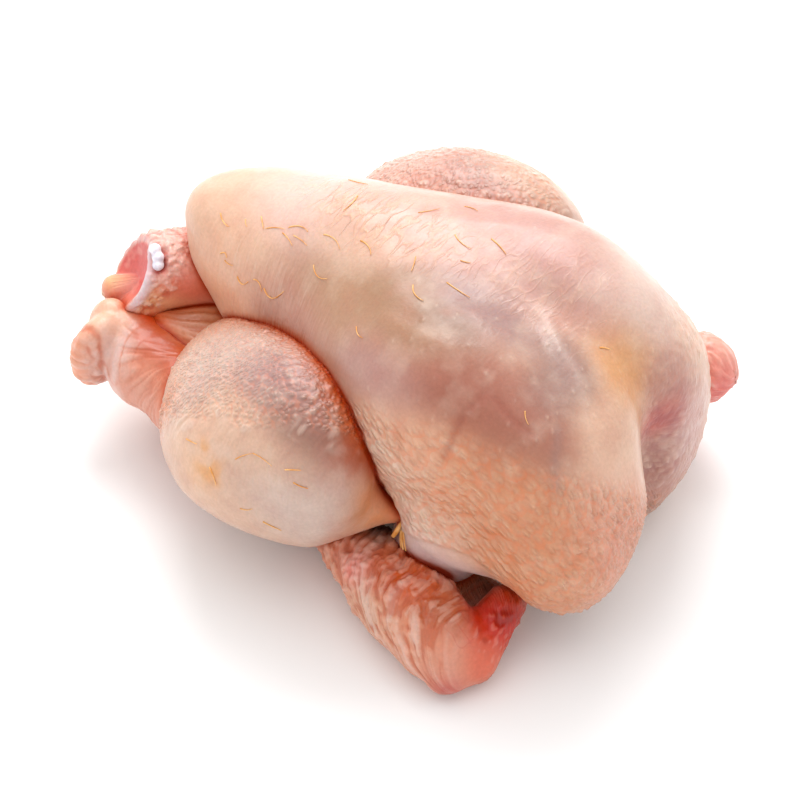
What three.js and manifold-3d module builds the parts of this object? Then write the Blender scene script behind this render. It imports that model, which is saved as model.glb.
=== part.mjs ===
// A whole raw chicken, plucked and oven ready, lying on its back with the breast up.
// The bird's neck end points along +X, its right side is +Y and the table is Z = 0. All sizes are millimetres.
//
// The flesh is a set of masses: the trunk, the thighs, the shanks and the wings. Each mass is a few soft lobes
// and tapered bars that melt into one another. A sphere's vertices are drawn in onto that blend, along rays
// that leave a short spine inside the mass. The masses are then joined into one solid, because a whole bird
// is one piece, and the table cuts it flat underneath.
import * as THREE from "three";
import { mergeVertices } from "three/addons/utils/BufferGeometryUtils.js";
import Module from "manifold-3d";

// ---- Driving dimensions ----
const trunk = { half: [82, 48, 48], middleHeight: 44 }; // ribs and back
const breast = { half: [60, 35, 38], middleHeight: 75, apart: 46, rightIsLarger: 2 }; // the two breast muscles
const thigh = { leftHalf: [49, 34.5, 29.5], rightHalf: [50.5, 35, 32.5] };
const drumstick = { half: [45.5, 27, 34.5], kneeRadius: 3 }; // lies along the left thigh's outside
const leftShank = { rootRadius: 18.5, ankleRadius: 13 }; // thin end of a drumstick, in loose skin
const rightShank = { rootRadius: 22, middleRadius: 17, ankleRadius: 15, dishRadius: 21, knobRadius: 5 };
const belly = { half: [27, 26, 21], foldHalf: [25, 22, 16] };
const wing = { elbowRadius: 7, foreArmRadius: 14.6, wristRadius: 14, handRadius: 9.3, tipRadius: 7.5 };
const gristleRadius = 2.3; // of each of the three white lobes in a slit at the right ankle
const fitGap = 0.3; // clearance round a separate piece that sits in the flesh
const middleOfBird = new THREE.Vector3(-15.2, 1.8, 0); // where the bounding box has its middle

// ---- Colours of the raw bird ----
const skinLook = new THREE.MeshStandardMaterial({ color: 0xe9b99e, roughness: 0.4, metalness: 0 });
const gristleLook = new THREE.MeshStandardMaterial({ color: 0xe9e4ee, roughness: 0.3, metalness: 0 });

const point = (x, y, z) => new THREE.Vector3(x, y, z);
const larger = (half, by) => half.map((size) => size + by);

// ---- Soft shapes: each one's distance is negative inside it, zero on its surface and positive outside ----

// An egg-shaped lobe, turned by yaw about Z and tipped up at its +X end by pitch, in degrees.
function lobe({ at, half, yaw = 0, pitch = 0, blend = 0 }) {
  const turn = new THREE.Quaternion().setFromEuler(
    new THREE.Euler(0, THREE.MathUtils.degToRad(-pitch), THREE.MathUtils.degToRad(yaw), "ZYX"),
  );
  const unturn = turn.invert();
  const size = point(...half);
  const sizeSquared = size.clone().multiply(size);
  const distance = (p) => {
    const local = p.clone().sub(at).applyQuaternion(unturn);
    const reach = local.clone().divide(size).length() + 1e-9;
    const slope = local.divide(sizeSquared).length() + 1e-9;
    return (reach * (reach - 1)) / slope;
  };
  return { distance, blend };
}

// A round bar whose radius changes evenly from one end to the other, with round ends.
function bar({ from, to, fromRadius, toRadius, blend = 0 }) {
  const middleLine = new THREE.Line3(from, to);
  const nearest = point(0, 0, 0);
  const distance = (p) => {
    const along = middleLine.closestPointToPointParameter(p, true);
    middleLine.at(along, nearest);
    return p.distanceTo(nearest) - THREE.MathUtils.lerp(fromRadius, toRadius, along);
  };
  return { distance, blend };
}

// Bars from joint to joint of a limb. Each joint is a place and a radius.
function limb(joints, blend) {
  return joints.slice(1).map(([to, toRadius], i) => {
    const [from, fromRadius] = joints[i];
    return bar({ from, to, fromRadius, toRadius, blend: i === 0 ? 0 : blend });
  });
}

// Everything beyond a knife cut through `at`, whose normal points out of what is kept.
function beyondCut({ at, normal, blend }) {
  const out = normal.clone().normalize();
  return { distance: (p) => -p.clone().sub(at).dot(out), blend };
}

// The same shape, taken out of the mass instead of added to it.
const takenOut = (shape) => ({ ...shape, isTakenOut: true });

// The lower of two distances, with the corner between them rounded over a width of `blend`.
function melt(a, b, blend) {
  if (blend === 0) return Math.min(a, b);
  const overlap = Math.max(blend - Math.abs(a - b), 0) / blend;
  return Math.min(a, b) - (overlap * overlap * blend) / 4;
}

// ---- The masses of flesh: `shapes` are worked in their order ----

function trunkMass() {
  const { half, middleHeight, apart, rightIsLarger } = breast;
  return {
    spine: [point(-70, 0, 58), point(55, 0, 50)],
    facets: 14,
    shapes: [
      lobe({ at: point(-8, 4, trunk.middleHeight), half: trunk.half }),
      lobe({ at: point(-28, 4, 76), half: [62, 36, 36], pitch: 6, blend: 12 }), // rear of the keel
      lobe({ at: point(22, -21, middleHeight), half, yaw: -9, pitch: 2, blend: 14 }), // left breast
      lobe({ at: point(44, -33, 44), half: [27, 22.5, 23], blend: 8 }), // left ribs
      lobe({ at: point(19, apart - 21, 74), half: larger(half, rightIsLarger), yaw: 9, pitch: 2, blend: 14 }),
      lobe({ at: point(74, -23.5, 56), half: [24, 29, 40.5], yaw: 4, pitch: 14, blend: 12 }), // left shoulder
      lobe({ at: point(58.5, -11.5, 55), half: [34, 22, 38], yaw: 4, blend: 12 }), // crop
      lobe({ at: point(64.5, 36.3, 41.5), half: [19.5, 34, 43], yaw: 9, pitch: -7, blend: 14 }), // right shoulder
      lobe({ at: point(-77, 1, 70), half: [33, 26, 26], blend: 16 }), // tip of the keel
      lobe({ at: point(-94.5, -4, 81.5), half: [13, 13, 10.5], blend: 7 }), // slack skin on the tip
      lobe({ at: point(57, 4, 80), half: [27, 17, 21], yaw: -28, blend: 14 }), // fat between the breast muscles
      takenOut(lobe({ at: point(110, 22, 46), half: [32, 8, 50], yaw: 14, blend: 9 })), // hollow of the neck
      lobe({ at: point(36.5, -38, 25.5), half: [15, 14, 16], blend: 5 }), // left flank
    ],
  };
}

// Slack belly skin that is tucked in under the tip of the keel.
function bellyMass() {
  return {
    spine: [point(-88, -14, 34), point(-72, -10, 33)],
    facets: 5,
    shapes: [
      lobe({ at: point(-82, -14, 24), half: belly.half }),
      lobe({ at: point(-89, -25, 31), half: belly.foldHalf, blend: 8 }),
    ],
  };
}

// The left thigh with the drumstick folded up against it. The skin runs forward to the knee, a point at the flank.
function leftThighMass() {
  return {
    spine: [point(-42, -52, 46), point(-10, -49, 41)],
    facets: 8,
    shapes: [
      lobe({ at: point(-41, -47.5, 43), half: thigh.leftHalf, yaw: -48, pitch: 8 }),
      lobe({ at: point(-19.5, -52.5, 50.5), half: drumstick.half, yaw: -31, pitch: 26, blend: 14 }),
      bar({
        from: point(-2, -57, 38), to: point(22.5, -45, 35), fromRadius: 14, toRadius: drumstick.kneeRadius,
        blend: 12,
      }),
    ],
  };
}

// The right thigh, behind the breast.
function rightThighMass() {
  return {
    spine: [point(-42, 61, 52), point(-15, 60, 49)],
    facets: 8,
    shapes: [
      lobe({ at: point(-36, 59, 56.5), half: thigh.rightHalf, yaw: 5, pitch: 17 }),
      bar({ from: point(-12, 57, 46), to: point(18, 49, 36), fromRadius: 26, toRadius: 5, blend: 14 }),
    ],
  };
}

// The left shank in its loose skin, from the thigh's root to the ankle, where a knob stands proud of the skin.
function leftShankMass() {
  const { rootRadius, ankleRadius } = leftShank;
  const joints = [
    [point(-60, -48, 31), rootRadius],
    [point(-97, -46, 32.5), ankleRadius],
    [point(-105, -43.5, 32.5), ankleRadius],
  ];
  return {
    spine: [point(-108, -45, 33), point(-64, -47, 36)],
    facets: 7,
    shapes: [
      ...limb(joints, 8),
      lobe({ at: point(-117, -43.5, 37), half: [8, 8.5, 12.5], blend: 8 }), // end of the skin
      lobe({ at: point(-113.5, -53, 35), half: [8.5, 12.5, 15.5], yaw: -5, pitch: -6, blend: 2 }), // knob
    ],
  };
}

// The right shank is cut through at the ankle. The cut face is dished, with a small knob on its rim.
function rightShankMass() {
  const { rootRadius, middleRadius, ankleRadius, dishRadius, knobRadius } = rightShank;
  const joints = [
    [point(-60, 40, 46), rootRadius],
    [point(-92.5, 2.5, 51), middleRadius],
    [point(-116, -27, 52), ankleRadius],
  ];
  const dish = [dishRadius, dishRadius, dishRadius];
  const knob = [knobRadius, knobRadius, knobRadius];
  return {
    spine: [point(-107, -15, 50), point(-66, 34, 47)],
    facets: 7,
    shapes: [
      ...limb(joints, 6),
      takenOut(beyondCut({ at: point(-118.5, -30.5, 53.5), normal: point(-0.55, -0.6, 0.58), blend: 1.5 })),
      takenOut(lobe({ at: point(-127.5, -40.5, 63), half: dish, blend: 2 })),
      lobe({ at: point(-124.4, -33, 45), half: knob, blend: 3 }),
    ],
  };
}

// The left wing lies folded on the table: forearm along the body, wrist out to the side, hand tucked in under
// the breast. The upper arm closes the pocket behind it.
function leftWingMass() {
  const joints = [
    [point(-8, -51, 12), wing.elbowRadius],
    [point(10, -53.5, 12.5), 9.5],
    [point(28, -58.5, 13.5), 13],
    [point(43, -62, 14.5), wing.foreArmRadius],
    [point(57, -66, 13.5), wing.wristRadius],
  ];
  const tip = { from: point(57, -66, 13), to: point(66.4, -72, 9), fromRadius: 12.5, toRadius: wing.tipRadius };
  const hand = { from: point(68, -62, 9), to: point(66, -42, 17.5), fromRadius: wing.handRadius, toRadius: 7 };
  const upperArm = { from: point(57, -37.5, 5), to: point(24, -42, 6), fromRadius: 9.5, toRadius: 9 };
  return {
    spine: [point(10, -56, 12), point(60, -63, 12)],
    facets: 7,
    shapes: [
      ...limb(joints, 8),
      bar({ ...tip, blend: 6 }),
      bar({ ...hand, blend: 5 }),
      bar({ ...upperArm, blend: 4 }),
    ],
  };
}

// The right wing is held up against the shoulder, so that its wrist sticks out.
function rightWingMass() {
  const joints = [
    [point(-2, 62, 16), 12],
    [point(36, 72, 24), 18],
    [point(60, 78, 37), 13],
  ];
  return { spine: [point(10, 66, 20), point(54, 77, 34)], facets: 6, shapes: limb(joints, 8) };
}

// White gristle in a slit at the right ankle: three small lobes in a row.
function gristleMass() {
  const half = [gristleRadius, gristleRadius, 1.9];
  return {
    spine: [point(-106, -28, 64.3), point(-109, -26, 67.3)],
    facets: 3,
    shapes: [
      lobe({ at: point(-109.4, -25.7, 67.7), half }),
      lobe({ at: point(-107, -26.8, 66), half, blend: 1 }),
      lobe({ at: point(-105.7, -28.3, 63.9), half, blend: 1 }),
    ],
  };
}

const fleshMasses = [
  trunkMass(),
  bellyMass(),
  leftThighMass(),
  rightThighMass(),
  leftShankMass(),
  rightShankMass(),
  leftWingMass(),
  rightWingMass(),
];

// ---- From a mass to a closed surface ----

// Distance to a whole mass: its shapes melt together, apart from those that are taken out of it.
function massDistance({ shapes }, p) {
  return shapes.reduce((sum, { distance, blend, isTakenOut }) => (
    isTakenOut ? -melt(-sum, distance(p), blend) : melt(sum, distance(p), blend)
  ), Infinity);
}

const rayStart = 170; // further from any spine than the mass reaches
const rayStep = 0.8; // share of the distance that each step inwards covers
const closeEnough = 0.002;

// A sphere drawn in onto the mass, or onto a skin `clear` of it all round. A vertex in direction d starts out from
// the spine, at the place that d's lean along the spine gives, and moves inwards until it meets the surface.
function skinOf(mass, clear = 0) {
  const sphere = new THREE.IcosahedronGeometry(1, mass.facets);
  sphere.deleteAttribute("normal");
  sphere.deleteAttribute("uv");
  const geometry = mergeVertices(sphere, 1e-5);
  const places = geometry.getAttribute("position");
  const [start, end] = mass.spine;
  const axis = end.clone().sub(start).normalize();
  const direction = point(0, 0, 0);
  const place = point(0, 0, 0);
  for (let i = 0; i < places.count; i++) {
    direction.fromBufferAttribute(places, i).normalize();
    const origin = start.clone().lerp(end, (1 + direction.dot(axis)) / 2);
    let reach = rayStart;
    for (let step = 0; step < 200; step++) {
      place.copy(origin).addScaledVector(direction, reach);
      const left = massDistance(mass, place) - clear;
      if (left < closeEnough) break;
      reach -= left * rayStep;
    }
    places.setXYZ(i, place.x, place.y, place.z);
  }
  return geometry;
}

// ---- Joining and cutting ----

const wasm = await Module();
wasm.setup();

function solidFrom(geometry) {
  const merged = mergeVertices(new THREE.BufferGeometry()
    .setAttribute("position", geometry.getAttribute("position"))
    .setIndex(geometry.index), 1e-4);
  return new wasm.Manifold(new wasm.Mesh({
    numProp: 3,
    vertProperties: new Float32Array(merged.getAttribute("position").array),
    triVerts: new Uint32Array(merged.index.array),
  }));
}

function geometryFrom(solid) {
  const { vertProperties, triVerts } = solid.getMesh();
  return new THREE.BufferGeometry()
    .setAttribute("position", new THREE.BufferAttribute(vertProperties, 3))
    .setIndex(new THREE.BufferAttribute(triVerts, 1));
}

const gristleSocket = solidFrom(skinOf(gristleMass(), fitGap));
const belowTable = solidFrom(mergeVertices(
  new THREE.BoxGeometry(400, 400, 60).deleteAttribute("normal").deleteAttribute("uv").translate(0, 0, -30), 1e-4));

const flesh = fleshMasses
  .map((mass) => solidFrom(skinOf(mass)))
  .reduce((joined, next) => joined.add(next))
  .subtract(gristleSocket)
  .subtract(belowTable);

// ---- The bird ----

function piece(name, solid, material) {
  const mesh = new THREE.Mesh(geometryFrom(solid), material);
  mesh.name = name;
  return mesh;
}

const bird = new THREE.Group();
bird.add(piece("flesh_and_skin", flesh, skinLook));
bird.add(piece("ankle_gristle", solidFrom(skinOf(gristleMass())), gristleLook));
bird.position.copy(middleOfBird).negate();
export default bird;
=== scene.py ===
"""A whole raw chicken, plucked and oven ready, lying on its back with the breast up.

Sizes and places are millimetres in the bird's own axes: X runs towards the neck, Y towards the bird's right
side and Z up from the table. MIDDLE is the point of the table that the finished piece has as its origin.
Each mass of flesh is a soft field that is worked out with numpy on whole arrays. Its skin is a grid of rays
that leave a short spine inside the mass and stop at the surface, and the skin's relief and colours are
functions of place on that surface.
"""

import itertools
from functools import partial

import bpy
import numpy as np
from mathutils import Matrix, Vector


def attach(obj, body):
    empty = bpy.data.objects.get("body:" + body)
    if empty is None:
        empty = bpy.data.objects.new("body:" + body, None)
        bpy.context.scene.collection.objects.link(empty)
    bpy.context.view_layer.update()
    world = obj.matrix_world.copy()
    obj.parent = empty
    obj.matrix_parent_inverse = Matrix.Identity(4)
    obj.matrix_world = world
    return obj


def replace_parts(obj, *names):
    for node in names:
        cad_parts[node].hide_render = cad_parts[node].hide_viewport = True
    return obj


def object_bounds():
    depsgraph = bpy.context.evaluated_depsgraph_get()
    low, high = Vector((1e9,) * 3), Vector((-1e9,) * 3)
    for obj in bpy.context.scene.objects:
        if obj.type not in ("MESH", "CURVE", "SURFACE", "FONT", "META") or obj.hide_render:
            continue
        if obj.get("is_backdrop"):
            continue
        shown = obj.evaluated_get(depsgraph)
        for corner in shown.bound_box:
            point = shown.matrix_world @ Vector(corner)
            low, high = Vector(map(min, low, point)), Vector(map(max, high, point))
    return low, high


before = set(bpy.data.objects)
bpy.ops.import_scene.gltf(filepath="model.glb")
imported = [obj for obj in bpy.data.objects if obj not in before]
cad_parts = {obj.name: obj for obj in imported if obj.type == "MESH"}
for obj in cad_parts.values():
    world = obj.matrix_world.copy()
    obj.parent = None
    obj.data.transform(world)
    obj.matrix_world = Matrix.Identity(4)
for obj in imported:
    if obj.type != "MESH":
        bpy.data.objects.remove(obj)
cad_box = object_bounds()

MM = 0.001
MIDDLE = np.array([-15.2, 1.8, 0.0])  # of the table, under the middle of the bird


def metres(points):
    """Places in millimetres on the bird, as metres in the part's frame."""
    return (np.asarray(points, float) - MIDDLE) * MM


# ---- Camera, so that the bird is seen from its left front, from well above

VIEW_TURN, VIEW_RISE = np.radians(40), np.radians(45)
VIEW_DISTANCE = 1100
VIEW_SCALE = 2.75  # picture points a millimetre, in a picture that is 800 points wide
VIEW_OFFSET = (-12.2, 29.4)  # of the camera, to its right and up, from a view straight at the bird's axes
SENSOR_WIDTH, PICTURE_WIDTH = 36, 800

level, rise_of_view = np.cos(VIEW_RISE), np.sin(VIEW_RISE)
back = np.array([np.sin(VIEW_TURN) * level, -np.cos(VIEW_TURN) * level, rise_of_view])
right = np.array([np.cos(VIEW_TURN), np.sin(VIEW_TURN), 0])
up = np.cross(back, right)
camera = bpy.data.objects.new("camera", bpy.data.cameras.new("camera"))
bpy.context.collection.objects.link(camera)
bpy.context.scene.camera = camera
camera.location = metres(back * VIEW_DISTANCE + right * VIEW_OFFSET[0] + up * VIEW_OFFSET[1])
camera.rotation_euler = Vector(-back).to_track_quat("-Z", "Y").to_euler()
camera.data.sensor_width = SENSOR_WIDTH
camera.data.lens = VIEW_SCALE * VIEW_DISTANCE * SENSOR_WIDTH / PICTURE_WIDTH


# ---- Soft shapes
# Each is a distance, the width over which it melts into what is there, and whether it is taken out. The
# distance is negative inside the shape, zero on its surface and positive outside.


def turned(yaw, pitch):
    """The axes of a shape turned by yaw about Z and then tipped up by pitch at its +X end, in degrees."""
    y, p = np.radians([yaw, pitch])
    about_z = np.array([[np.cos(y), -np.sin(y), 0], [np.sin(y), np.cos(y), 0], [0, 0, 1]])
    about_y = np.array([[np.cos(p), 0, -np.sin(p)], [0, 1, 0], [np.sin(p), 0, np.cos(p)]])
    return about_z @ about_y


def lobe(at, half, yaw=0, pitch=0, blend=0):
    """An egg-shaped lobe. With k a point's reach in half sizes, its distance is k (k - 1) over k's slope."""
    at, half, axes = np.array(at, float), np.array(half, float), turned(yaw, pitch)

    def distance(points):
        local = (points - at) @ axes
        reach = np.sqrt(((local / half) ** 2).sum(-1)) + 1e-9
        slope = np.sqrt(((local / half**2) ** 2).sum(-1)) + 1e-9
        return reach * (reach - 1) / slope

    return distance, blend, False


def bar(start, end, start_radius, end_radius, blend=0):
    """A round bar: distance to its middle line, less a radius that changes evenly along it."""
    start, along = np.array(start, float), np.subtract(end, start).astype(float)

    def distance(points):
        share = np.clip((points - start) @ along / (along @ along), 0, 1)
        off = points - start - share[..., None] * along
        return np.sqrt((off**2).sum(-1)) - (start_radius + (end_radius - start_radius) * share)

    return distance, blend, False


def beyond_cut(at, normal, blend):
    """Everything beyond a knife cut through `at`, which is taken out: minus the height above the cut."""
    out = np.array(normal, float) / np.linalg.norm(normal)
    return lambda points: -(points - np.array(at, float)) @ out, blend, True


def scooped(shape):
    """The same shape, taken out instead of added."""
    return shape[0], shape[1], True


def melt(a, b, width):
    """The lower of two distances, with the corner between them rounded over a width."""
    if width == 0:
        return np.minimum(a, b)
    overlap = np.maximum(width - np.abs(a - b), 0) / width
    return np.minimum(a, b) - overlap**2 * width / 4


NORMAL_STEP = 0.3


class Mass:
    """A mass of flesh: the spine that its rays leave from, and its soft shapes in order of making."""

    def __init__(self, spine, *shapes):
        self.spine = [np.array(end, float) for end in spine]
        self.shapes = shapes

    def distance(self, points):
        body = np.inf
        for shape, blend, taken_out in self.shapes:
            body = -melt(-body, shape(points), blend) if taken_out else melt(body, shape(points), blend)
        return body

    def normals(self, points):
        """The way in which the distance grows fastest, from steps along four of a cube's ways out."""
        ways = np.array([[1, -1, -1], [-1, -1, 1], [-1, 1, -1], [1, 1, 1]])
        slope = sum(way * self.distance(points + way * NORMAL_STEP)[..., None] for way in ways)
        return slope / np.linalg.norm(slope, axis=-1, keepdims=True)


def met(mass, origins, directions, start=170, close=0.004, step_share=0.85, most_steps=160):
    """Where rays that come in from `start` millimetres out meet the mass. Each step is a share of the
    distance that is left."""
    reach = np.full(len(origins), float(start))
    moving = np.arange(len(origins))
    for _ in range(most_steps):
        left = mass.distance(origins[moving] + directions[moving] * reach[moving, None])
        reach[moving] -= left * step_share
        moving = moving[left > close]
        if not len(moving):
            break
    return origins + directions * reach[:, None]


# ---- The masses of flesh

# The knife's cut through the right ankle, and the middle of the lip of skin round it
CUT_AT = (-118.5, -30.5, 53.5)
CUT_NORMAL = np.array([-0.55, -0.6, 0.58])
LIP_MIDDLE = (-118.4, -30.6, 53.5)

MASSES = {
    "trunk": Mass(
        [(-70, 0, 58), (55, 0, 50)],
        lobe((-8, 4, 44), (82, 48, 48)),
        lobe((-28, 4, 76), (62, 36, 36), pitch=6, blend=12),
        lobe((22, -21, 75), (60, 35, 38), yaw=-9, pitch=2, blend=14),
        lobe((44, -33, 44), (27, 22.5, 23), blend=8),
        lobe((19, 25, 74), (62, 37, 40), yaw=9, pitch=2, blend=14),
        lobe((74, -23.5, 56), (24, 29, 40.5), yaw=4, pitch=14, blend=12),
        lobe((58.5, -11.5, 55), (34, 22, 38), yaw=4, blend=12),
        lobe((64.5, 36.3, 41.5), (19.5, 34, 43), yaw=9, pitch=-7, blend=14),
        lobe((-77, 1, 70), (33, 26, 26), blend=16),
        lobe((-94.5, -4, 81.5), (13, 13, 10.5), blend=7),
        lobe((57, 4, 80), (27, 17, 21), yaw=-28, blend=14),
        scooped(lobe((110, 22, 46), (32, 8, 50), yaw=14, blend=9)),
        lobe((36.5, -38, 25.5), (15, 14, 16), blend=5),
    ),
    "belly": Mass(
        [(-88, -14, 34), (-72, -10, 33)],
        lobe((-82, -14, 24), (27, 26, 21)),
        lobe((-89, -25, 31), (25, 22, 16), blend=8),
    ),
    "left_thigh": Mass(
        [(-42, -52, 46), (-10, -49, 41)],
        lobe((-41, -47.5, 43), (49, 34.5, 29.5), yaw=-48, pitch=8),
        lobe((-19.5, -52.5, 50.5), (45.5, 27, 34.5), yaw=-31, pitch=26, blend=14),
        bar((-2, -57, 38), (22.5, -45, 35), 14, 3, blend=12),
    ),
    "right_thigh": Mass(
        [(-42, 61, 52), (-15, 60, 49)],
        lobe((-36, 59, 56.5), (50.5, 35, 32.5), yaw=5, pitch=17),
        bar((-12, 57, 46), (18, 49, 36), 26, 5, blend=14),
    ),
    "left_shank": Mass(
        [(-108, -45, 33), (-64, -47, 36)],
        bar((-60, -48, 31), (-97, -46, 32.5), 18.5, 13),
        bar((-97, -46, 32.5), (-105, -43.5, 32.5), 13, 13, blend=8),
        lobe((-117, -43.5, 37), (8, 8.5, 12.5), blend=8),
        lobe((-113.5, -53, 35), (8.5, 12.5, 15.5), yaw=-5, pitch=-6, blend=2),
    ),
    "right_shank": Mass(
        [(-107, -15, 50), (-66, 34, 47)],
        bar((-60, 40, 46), (-92.5, 2.5, 51), 22, 17),
        bar((-92.5, 2.5, 51), (-116, -27, 52), 17, 15, blend=6),
        beyond_cut(CUT_AT, CUT_NORMAL, 1.5),
        scooped(lobe((-127.5, -40.5, 63), (21, 21, 21), blend=2)),
        lobe((-124.4, -33, 45), (5, 5, 5), blend=3),
    ),
    "left_wing": Mass(
        [(10, -56, 12), (60, -63, 12)],
        bar((-8, -51, 12), (10, -53.5, 12.5), 7, 9.5),
        bar((10, -53.5, 12.5), (28, -58.5, 13.5), 9.5, 13, blend=8),
        bar((28, -58.5, 13.5), (43, -62, 14.5), 13, 14.6, blend=8),
        bar((43, -62, 14.5), (57, -66, 13.5), 14.6, 14, blend=8),
        bar((57, -66, 13), (66.4, -72, 9), 12.5, 7.5, blend=6),
        bar((68, -62, 9), (66, -42, 17.5), 9.3, 7, blend=5),
        bar((57, -37.5, 5), (24, -42, 6), 9.5, 9, blend=4),
    ),
    "right_wing": Mass(
        [(10, 66, 20), (54, 77, 34)],
        bar((-2, 62, 16), (36, 72, 24), 12, 18),
        bar((36, 72, 24), (60, 78, 37), 18, 13, blend=8),
    ),
    "gristle": Mass(
        [(-106, -28, 64.3), (-109, -26, 67.3)],
        lobe((-109.4, -25.7, 67.7), (2.3, 2.3, 1.9)),
        lobe((-107.0, -26.8, 66.0), (2.3, 2.3, 1.9), blend=1),
        lobe((-105.7, -28.3, 63.9), (2.2, 2.2, 1.9), blend=1),
    ),
}


def gap_to_others(name, points):
    """Distance from points on one mass's skin to the nearest other mass: small in a crease between two."""
    others = [mass for other, mass in MASSES.items() if other not in (name, "gristle")]
    return np.min([mass.distance(points) for mass in others], axis=0)


# ---- Patterns: each is a function of place, in millimetres

CHANCE_COUNT = 4096  # a power of two
CHANCES = np.random.default_rng(11).random(CHANCE_COUNT)
# Large odd numbers that mix a cell's place
STIR, AXIS_STIRS = 1274126177, (374761393, 668265263, 2147483647)


def chance(cells, salt):
    """A repeatable number from 0 to 1 for each cell, whose place is a row of whole numbers."""
    mixed = np.full(cells.shape[:-1], salt * STIR, np.int64)
    for axis, factor in zip(range(cells.shape[-1]), AXIS_STIRS):
        mixed = (mixed ^ (cells[..., axis] * factor)) * STIR
        mixed ^= mixed >> 15
    return CHANCES[mixed & (CHANCE_COUNT - 1)]


def cloud(points, size, salt=0, octaves=1):
    """Smooth random values from -1 to 1 that change over `size`: a lattice of chances, eased between."""
    total, weights = 0, 0
    for octave in range(octaves):
        at = points * (2**octave / size)
        cell = np.floor(at).astype(np.int64)
        ease = (at - cell) ** 2 * (3 - 2 * (at - cell))
        value = 0
        for corner in itertools.product((0, 1), repeat=points.shape[-1]):
            share = np.prod(np.where(np.array(corner) == 1, ease, 1 - ease), axis=-1)
            value = value + share * chance(cell + np.array(corner), salt + octave)
        total = total + (2 * value - 1) * 0.5**octave
        weights += 0.5**octave
    return total / weights


def wobbled(chart, size, amount, salt):
    """A map whose points are moved about at random by up to `amount`, smoothly over `size`."""
    return chart + amount * np.stack([cloud(chart, size, salt), cloud(chart, size, salt + 1)], -1)


ROW_HEIGHT = 0.87  # between rows of pores that are 1 apart in their row


def pore_cells(chart, jitter, salt):
    """The nine feather pores round each point: the offset from each pore, and the pore's own chance.

    Pores stand in staggered rows, 1 apart and half of that further on in odd rows, and each moves by up to
    half of `jitter`.
    """
    home_row = np.floor(chart[..., 1] / ROW_HEIGHT)
    for row_step, column_step in itertools.product((-1, 0, 1), repeat=2):
        row = home_row + row_step
        shift = 0.5 * np.mod(row, 2)
        column = np.floor(chart[..., 0] - shift) + column_step
        cell = np.stack([column, row], -1).astype(np.int64)
        centre = np.stack([column + shift + 0.5 + jitter * (chance(cell, salt) - 0.5),
                           (row + 0.5 + jitter * (chance(cell, salt + 1) - 0.5)) * ROW_HEIGHT], -1)
        yield chart - centre, chance(cell, salt + 2)


def pores(chart, spacing, jitter=0.5, salt=0):
    """Distances to the nearest two feather pores, in spacings, and the nearest one's own chance."""
    nearest = np.full(chart.shape[:-1], 9.0)
    second, own = nearest, 0 * nearest
    for away, pore_chance in pore_cells(chart / spacing, jitter, salt):
        distance = np.hypot(away[..., 0], away[..., 1])
        closer = distance < nearest
        second = np.where(closer, nearest, np.minimum(second, distance))
        own = np.where(closer, pore_chance, own)
        nearest = np.where(closer, distance, nearest)
    return nearest, second, own


def goose_bumps(chart, spacing, tail, salt, jitter=0.9):
    """Goose bumps, from 0.33 below the skin's mean height to 0.67 above it, and their pores.

    Each bump is a mound that rises slowly along the map's first axis over `tail` spacings, falls away fast
    and has its pore at the foot of the fall. Mounds are added up, so they run into one another softly.
    """
    bumps, found = -0.33, 0
    for offset, own in pore_cells(chart / spacing / np.array([tail, 1]), jitter, salt):
        along, across = offset[..., 0], offset[..., 1]
        slope = np.where(along > 0.1, (along - 0.1) / 0.26, (along - 0.1) / 0.5)
        bumps = bumps + (0.45 + 0.4 * own) * np.exp(-(slope**2) - (across / 0.38) ** 2)
        found = found + (own > 0.35) * np.exp(-(((along - 0.28) / 0.14) ** 2) - (across / 0.13) ** 2)
    return bumps, found


def grain_of(chart, width, length, amount):
    """Where each point is on the map, counted in bumps, and how strong the bumps are there: the material
    draws them from this, finer than the mesh."""
    return np.stack([chart[..., 0] / length, chart[..., 1] / width, amount + 0 * chart[..., 0]], -1)


def strands(chart, width, length, salt, jitter=0.9):
    """Soft rod-like cells from 0 to 1, `length` long by `width` wide, along the map's first axis."""
    nearest, second, own = pores(chart / np.array([length / width, 1]), width, jitter, salt)
    return (1 - np.exp(-(((second - nearest) / 0.4) ** 2))) * (0.45 + 0.55 * own)


def folds(chart, width, length, salt, soft=0.4):
    """Rope-like folds from 0 to 1 along the map's first axis, about `width` wide and `length` long.

    The furrows lie where smooth noise changes sign, and what lies between them is rounded."""
    value = cloud(chart / np.array([length, width]), 1, salt)
    return 1 - np.exp(-((value / soft) ** 2))


def near(points, at, reach):
    """1 at a place and fading to 0 over `reach` millimetres, by the bell curve. It may differ by axis."""
    return np.exp(-(((points - np.array(at, float)) / np.array(reach, float)) ** 2).sum(-1))


def rise(value, low, high):
    """0 below `low`, 1 above `high` and eased between them."""
    share = np.clip((value - low) / (high - low), 0, 1)
    return share * share * (3 - 2 * share)


def from_line(points, path):
    """Distance to a line through a few places."""
    path = np.array(path, float)
    return np.min([bar(a, b, 0, 0)[0](points) for a, b in zip(path, path[1:])], axis=0)


def slanted(x, y, z):
    """Height above a plane that leans back to the left and to the rear."""
    return 0.707 * z - 0.54 * y - 0.4545 * x


def groove(points, path, width):
    """1 on a line through a few places, fading over `width`."""
    return np.exp(-((from_line(points, path) / width) ** 2))


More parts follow.
